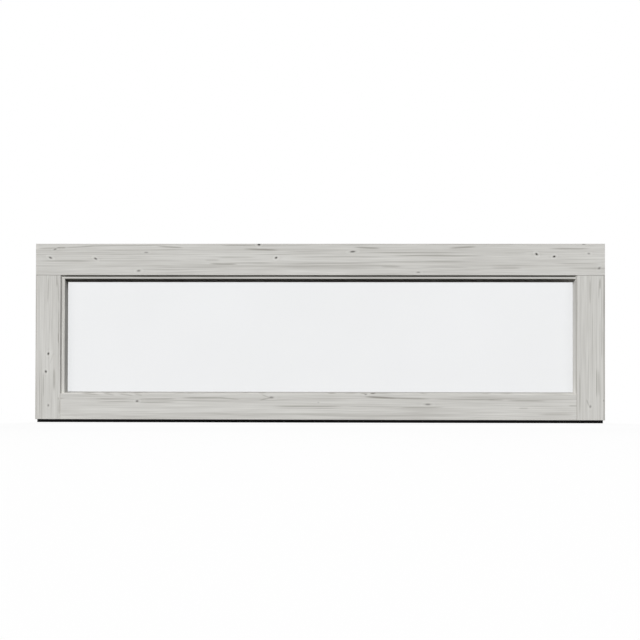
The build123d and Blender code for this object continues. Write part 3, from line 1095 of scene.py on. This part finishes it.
def fresh(add, name, **sizes):
    """Deselect everything, add a primitive at its place, name it and leave it in edit mode."""
    if bpy.context.object and bpy.context.object.mode != "OBJECT":
        bpy.ops.object.mode_set(mode="OBJECT")
    bpy.ops.object.select_all(action="DESELECT")
    add(**sizes)
    piece = bpy.context.object
    piece.name = name
    bpy.ops.object.transform_apply(location=True, rotation=True, scale=True)
    bpy.ops.object.mode_set(mode="EDIT")
    bpy.ops.mesh.select_mode(type="FACE")
    return piece


def stepped_top(piece, radius, rise, rings):
    """Inset and lift the top face ring by ring, by shares of the radius and of the rise."""
    chosen_faces(piece, lambda centre, normal: normal.z > FACING)
    for inward, up in rings:
        bpy.ops.mesh.inset(thickness=radius * inward)
        bpy.ops.transform.translate(value=(0.0, 0.0, rise * up))
    bpy.ops.object.mode_set(mode="OBJECT")


def put_copies(master, name, places):
    """Copy the master to each (place, direction), join the copies and leave them at the origin."""
    copies = []
    for place, direction in places:
        copy = master.copy()
        copy.data = master.data.copy()
        bpy.context.scene.collection.objects.link(copy)
        copy.location = place
        copy.rotation_mode = "QUATERNION"
        copy.rotation_quaternion = direction.to_track_quat("Z", "Y")
        copies.append(copy)
    bpy.ops.object.select_all(action="DESELECT")
    for copy in copies:
        copy.select_set(True)
    bpy.context.view_layer.objects.active = copies[0]
    bpy.ops.object.join()
    piece = bpy.context.object
    piece.name = name
    bpy.ops.object.transform_apply(location=True, rotation=True, scale=True)
    return piece


def finished(piece, material):
    """Give a new piece its material and its body."""
    piece.data.materials.clear()
    piece.data.materials.append(material)
    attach(piece, BODY)


def pin_master(sizes):
    """Bead pin: a round shank and a raised head with the punch's dimple, its rim at z = rise."""
    shank = 0.002
    piece = fresh(
        bpy.ops.mesh.primitive_cylinder_add,
        "pin_master",
        vertices=14,
        radius=sizes.pin_radius,
        depth=shank,
        location=(0.0, 0.0, sizes.pin_rise - shank / 2),
    )
    stepped_top(piece, sizes.pin_radius, sizes.pin_rise, rings=((0.35, 0.5), (0.4, -0.4)))
    return piece


def screw_master(sizes):
    """Frame screw: a domed washer head with a cross recess, its underside at z = 0."""
    slot_width, arm, sunk = 0.0012, 0.0016, 0.0004
    rim = sizes.screw_rise * 0.4
    cutter = fresh(
        bpy.ops.mesh.primitive_cube_add,
        "recess_cutter",
        size=slot_width,
        location=(0.0, 0.0, sizes.screw_rise),
    )
    for step in ((arm, 0, 0), (-arm, 0, 0), (0, arm, 0), (0, -arm, 0)):
        way = Vector(step).normalized()
        chosen_faces(
            cutter,
            lambda centre, normal: normal.dot(way) > FACING and centre.xy.length < slot_width,
        )
        bpy.ops.mesh.extrude_region_move(TRANSFORM_OT_translate={"value": step})

    head = fresh(
        bpy.ops.mesh.primitive_cylinder_add,
        "screw_master",
        vertices=28,
        radius=sizes.screw_radius,
        depth=sunk + rim,
        location=(0.0, 0.0, (rim - sunk) / 2),
    )
    domed = ((0.22, 0.34), (0.3, 0.2), (0.3, 0.06))
    stepped_top(head, sizes.screw_radius, sizes.screw_rise, rings=domed)
    cut = head.modifiers.new("recess", "BOOLEAN")
    cut.operation = "DIFFERENCE"
    cut.solver = "EXACT"
    cut.object = cutter
    bpy.ops.object.modifier_apply(modifier=cut.name)
    bpy.data.objects.remove(cutter)
    return head


def spread(low, high, spacing):
    """Evenly spaced places from low to high, no further apart than the spacing."""
    count = max(2, math.ceil((high - low) / spacing) + 1)
    return [low + (high - low) * index / (count - 1) for index in range(count)]


def pin_places(side, sizes):
    """Places and directions of the pins along the middle of one bead's sloped face."""
    inward = INWARD[side]
    sign = sum(inward)
    rise_axis = 2 if inward.z else 0
    run_axis = 2 - rise_axis
    low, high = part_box(f"{side}_bead")
    outer = low[rise_axis] if sign > 0 else high[rise_axis]
    height = high[rise_axis] - low[rise_axis]
    on_face = height - (high.y - low.y) / 2 * math.tan(sizes.bead_slope)
    facing = inward * math.cos(sizes.bead_slope) + Vector((0, math.sin(sizes.bead_slope), 0))
    first = low[run_axis] + sizes.pin_end
    last = high[run_axis] - sizes.pin_end
    places = []
    for run in spread(first, last, sizes.pin_spacing):
        place = Vector((0.0, (low.y + high.y) / 2, 0.0))
        place[run_axis] = run
        place[rise_axis] = outer + sign * on_face
        places.append((place, facing))
    return places


def screw_places(side):
    """Places and directions of one side's screws, down into the jamb and inwards into the sill."""
    sign = -INWARD[side].x
    low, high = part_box(f"{side}_jamb")
    outer = high.x if sign > 0 else low.x
    over_jamb = outer - sign * SCREW_FROM_SIDE
    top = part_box("frame_head")[1].z
    beside_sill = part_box("frame_sill")[0].z + SCREW_ABOVE_BASE
    places = [(Vector((over_jamb, depth, top)), Vector((0, 0, 1))) for depth in SCREW_DEPTHS]
    beside = [Vector((outer, depth, beside_sill)) for depth in SCREW_DEPTHS]
    places += [(place, Vector((sign, 0, 0))) for place in beside]
    return places


class WINDOW_OT_face_boards(bpy.types.Operator):
    """Stain the four knotty face boards"""

    bl_idname = "window.face_boards"
    bl_label = "Face Boards"

    def execute(self, context):
        names = ("head_board", "left_side_board", "right_side_board", "bottom_board")
        stain(names, context.scene.window_timber)
        return {"FINISHED"}


class WINDOW_OT_frame_timber(bpy.types.Operator):
    """Stain the frame's head, jambs and sill"""

    bl_idname = "window.frame_timber"
    bl_label = "Frame Timber"

    def execute(self, context):
        names = ("frame_head", "frame_sill", "left_jamb", "right_jamb")
        stain(names, context.scene.window_timber)
        return {"FINISHED"}


class WINDOW_OT_rear_beads(bpy.types.Operator):
    """Stain the four beads on the room side"""

    bl_idname = "window.rear_beads"
    bl_label = "Rear Beads"

    def execute(self, context):
        stain([f"{side}_bead" for side in INWARD], context.scene.window_timber)
        return {"FINISHED"}


class WINDOW_OT_glass_unit(bpy.types.Operator):
    """Finish the panes, spacer bars and edge sealant of the glass unit"""

    bl_idname = "window.glass_unit"
    bl_label = "Glass Unit"

    def execute(self, context):
        trim = context.scene.window_trim
        dress(("outer_pane", "inner_pane"), clear_glass(context.scene.window_glass))
        for axis, sides in (("X", ("top", "bottom")), ("Z", ("left", "right"))):
            metal = spacer_aluminium(f"spacer_aluminium_{axis.lower()}", trim.aluminium, axis)
            dress([f"{side}_spacer_bar" for side in sides], metal)
        dress([f"{side}_sealant" for side in INWARD], lumpy_sealant(trim.sealant))
        return {"FINISHED"}


class WINDOW_OT_seals_and_blocks(bpy.types.Operator):
    """Finish the glazing tapes, gaskets, blocks and the seal strip"""

    bl_idname = "window.seals_and_blocks"
    bl_label = "Seals and Blocks"

    def execute(self, context):
        trim = context.scene.window_trim
        rubber = soft_rubber("glazing_rubber", trim.rubber, 0.8, 0.05)
        dress([f"{side}_{ending}" for side in INWARD for ending in ("tape", "gasket")], rubber)
        plastic = moulded_plastic(trim.plastic)
        for side in ("left", "right"):
            dress([f"{side}_setting_block", f"{side}_side_block"], plastic)
        dress(["base_strip"], soft_rubber("seal_strip_rubber", trim.strip, 1.6, 0.015))
        return {"FINISHED"}


class WINDOW_OT_bead_pins(bpy.types.Operator):
    """Drive pins through the sloped faces of the rear beads"""

    bl_idname = "window.bead_pins"
    bl_label = "Bead Pins"

    def execute(self, context):
        sizes = context.scene.window_fixings
        steel = shared("zinc_plated_steel", zinc_steel, context.scene.window_trim.steel)
        master = pin_master(sizes)
        for side in INWARD:
            pins = put_copies(master, f"{side}_bead_pins", pin_places(side, sizes))
            finished(pins, steel)
        bpy.data.objects.remove(master)
        return {"FINISHED"}


class WINDOW_OT_frame_screws(bpy.types.Operator):
    """Screw the frame's corners together from above and from the sides"""

    bl_idname = "window.frame_screws"
    bl_label = "Frame Screws"

    def execute(self, context):
        steel = shared("zinc_plated_steel", zinc_steel, context.scene.window_trim.steel)
        master = screw_master(context.scene.window_fixings)
        for side in ("left", "right"):
            screws = put_copies(master, f"{side}_frame_screws", screw_places(side))
            finished(screws, steel)
        bpy.data.objects.remove(master)
        return {"FINISHED"}


def seen_share(finish):
    """1 for rays that show the surroundings themselves, 0 for those that gather light."""
    path = finish.node("ShaderNodeLightPath", output="Is Camera Ray").socket.node.outputs
    camera, glossy, through, diffuse_depth = [
        Wire(finish, path[name])
        for name in ("Is Camera Ray", "Is Glossy Ray", "Is Transmission Ray", "Diffuse Depth")
    ]
    return (camera + glossy + through > 0.5) * (diffuse_depth < 0.5)


def group(name, things):
    """A collection of these objects, for a lamp to light or to be blocked by."""
    collection = bpy.data.collections.new(name)
    for thing in things:
        collection.objects.link(thing)
    return collection


def soft_lamp(name, direction, strength, softness, lit=None, blockers=None):
    """Large soft lamp far away. By default it lights all the scene, and all the scene blocks it."""
    lamp = bpy.data.lights.new(name, "SUN")
    lamp.energy = strength
    lamp.angle = softness
    holder = bpy.data.objects.new(name, lamp)
    bpy.context.scene.collection.objects.link(holder)
    holder.rotation_mode = "QUATERNION"
    holder.rotation_quaternion = Vector(direction).to_track_quat("Z", "Y")
    holder.visible_glossy = False
    holder.visible_transmission = False
    if lit:
        holder.light_linking.receiver_collection = lit
        holder.light_linking.blocker_collection = blockers


class WINDOW_OT_studio(bpy.types.Operator):
    """Set up the pale floor, the soft lamps, the white surroundings and the camera"""

    bl_idname = "window.studio"
    bl_label = "Studio"

    def execute(self, context):
        setup = context.scene.window_studio
        pieces = [thing for thing in context.scene.objects if thing.type == "MESH"]
        self.add_floor(setup)
        self.light_world(context.scene, setup)
        self.add_lamps(pieces, setup)
        self.place_camera(context.scene, setup)
        context.scene.view_settings.view_transform = "Standard"
        return {"FINISHED"}

    def add_floor(self, setup):
        """A round pale floor that shows white and keeps the window's shadow."""
        floor = fresh(
            bpy.ops.mesh.primitive_circle_add,
            "floor",
            vertices=96,
            radius=setup.floor_radius,
            fill_type="NGON",
        )
        bpy.ops.mesh.select_all(action="SELECT")
        bpy.ops.mesh.inset(thickness=setup.floor_radius * 0.9)
        bpy.ops.object.mode_set(mode="OBJECT")
        material, finish = new_finish("pale_floor")
        material.cycles.emission_sampling = "NONE"
        seen = seen_share(finish)
        paleness = seen * (setup.floor_pale - setup.floor_bounce) + setup.floor_bounce
        glow = seen * setup.floor_glow
        sockets = {
            "Base Color": finish.joined(paleness, paleness, paleness),
            "Roughness": 1.0,
            "Specular IOR Level": 0.0,
            "Emission Color": finish.joined(glow, glow, glow),
            "Emission Strength": 1.0,
        }
        finish.shown(finish.surface(sockets))
        floor.data.materials.append(material)

    def light_world(self, scene, setup):
        """White surroundings that throw less light than they show."""
        world = bpy.data.worlds.new("white_surroundings")
        world.use_nodes = True
        scene.world = world
        finish = Finish(world.node_tree)
        seen = seen_share(finish)
        way = finish.node("ShaderNodeTexCoord", output="Generated")
        height = abs(finish.parts(way)[2])
        gathered = setup.sky_level + height * (setup.sky_above - setup.sky_level)
        sockets = {"Color": (1.0, 1.0, 1.0, 1.0), "Strength": seen + gathered * (1.0 - seen)}
        finish.shown(finish.node("ShaderNodeBackground", {}, sockets), "ShaderNodeOutputWorld")

    def add_lamps(self, pieces, setup):
        """Five soft lamps, three of which light only some pieces and are blocked only by some."""
        window = group("window", pieces)
        behind = group("behind_boards", [piece for piece in pieces if "board" not in piece.name])
        not_left = [piece for piece in pieces if not piece.name.startswith("left")]
        right_end = group("not_left_end", not_left)
        for name, lit, blockers in (
            ("key", window, behind),
            ("side", window, behind),
            ("end", right_end, window),
            ("top", None, None),
            ("fill", None, None),
        ):
            direction = getattr(setup, f"{name}_direction")
            strength = getattr(setup, f"{name}_strength")
            soft_lamp(f"{name}_lamp", direction, strength, setup.softness, lit, blockers)

    def place_camera(self, scene, setup):
        """Camera in front of the window and low, at the place that fits the photograph."""
        bpy.ops.object.select_all(action="DESELECT")
        bpy.ops.object.camera_add()
        camera = bpy.context.object
        camera.name = "camera"
        left, up, roll = setup.camera_turn
        camera.matrix_world = (
            Matrix.Translation(setup.camera_place)
            @ Matrix.Rotation(left, 4, "Z")
            @ Matrix.Rotation(math.pi / 2 + up, 4, "X")
            @ Matrix.Rotation(roll, 4, "Z")
        )
        camera.data.sensor_width = SENSOR_WIDTH
        camera.data.lens = setup.lens
        camera.data.shift_y = setup.lens_shift
        camera.data.clip_end = VIEW_LIMIT
        scene.camera = camera


class WINDOW_PT_sidebar(bpy.types.Panel):
    """Steps and sizes of the window, in the 3D view's sidebar"""

    bl_idname = "WINDOW_PT_sidebar"
    bl_label = "Fixed Timber Window"
    bl_space_type = "VIEW_3D"
    bl_region_type = "UI"
    bl_category = "Window"

    def draw(self, context):
        for step in STEPS:
            self.layout.operator(step.bl_idname)
        for name in SETTINGS:
            box = self.layout.box()
            settings = getattr(context.scene, name)
            for key in settings.bl_rna.properties.keys():
                if key not in ("name", "rna_type"):
                    box.prop(settings, key)


SETTINGS = {
    "window_timber": TimberFinish,
    "window_glass": GlassFinish,
    "window_trim": TrimFinish,
    "window_fixings": FixingSizes,
    "window_studio": StudioSetup,
}
STEPS = (
    WINDOW_OT_face_boards,
    WINDOW_OT_frame_timber,
    WINDOW_OT_rear_beads,
    WINDOW_OT_glass_unit,
    WINDOW_OT_seals_and_blocks,
    WINDOW_OT_bead_pins,
    WINDOW_OT_frame_screws,
    WINDOW_OT_studio,
)


def register():
    """Register the settings, the operators and the panel."""
    for name, settings in SETTINGS.items():
        bpy.utils.register_class(settings)
        setattr(bpy.types.Scene, name, bpy.props.PointerProperty(type=settings))
    for kind in (*STEPS, WINDOW_PT_sidebar):
        bpy.utils.register_class(kind)


def unregister():
    """Take away the panel, the operators and the settings."""
    for kind in (WINDOW_PT_sidebar, *reversed(STEPS)):
        bpy.utils.unregister_class(kind)
    for name, settings in SETTINGS.items():
        delattr(bpy.types.Scene, name)
        bpy.utils.unregister_class(settings)


def main():
    register()
    bpy.ops.window.face_boards()
    bpy.ops.window.frame_timber()
    bpy.ops.window.rear_beads()
    bpy.ops.window.glass_unit()
    bpy.ops.window.seals_and_blocks()
    bpy.ops.window.bead_pins()
    bpy.ops.window.frame_screws()
    bpy.ops.window.studio()


if __name__ == "__main__":
    main()
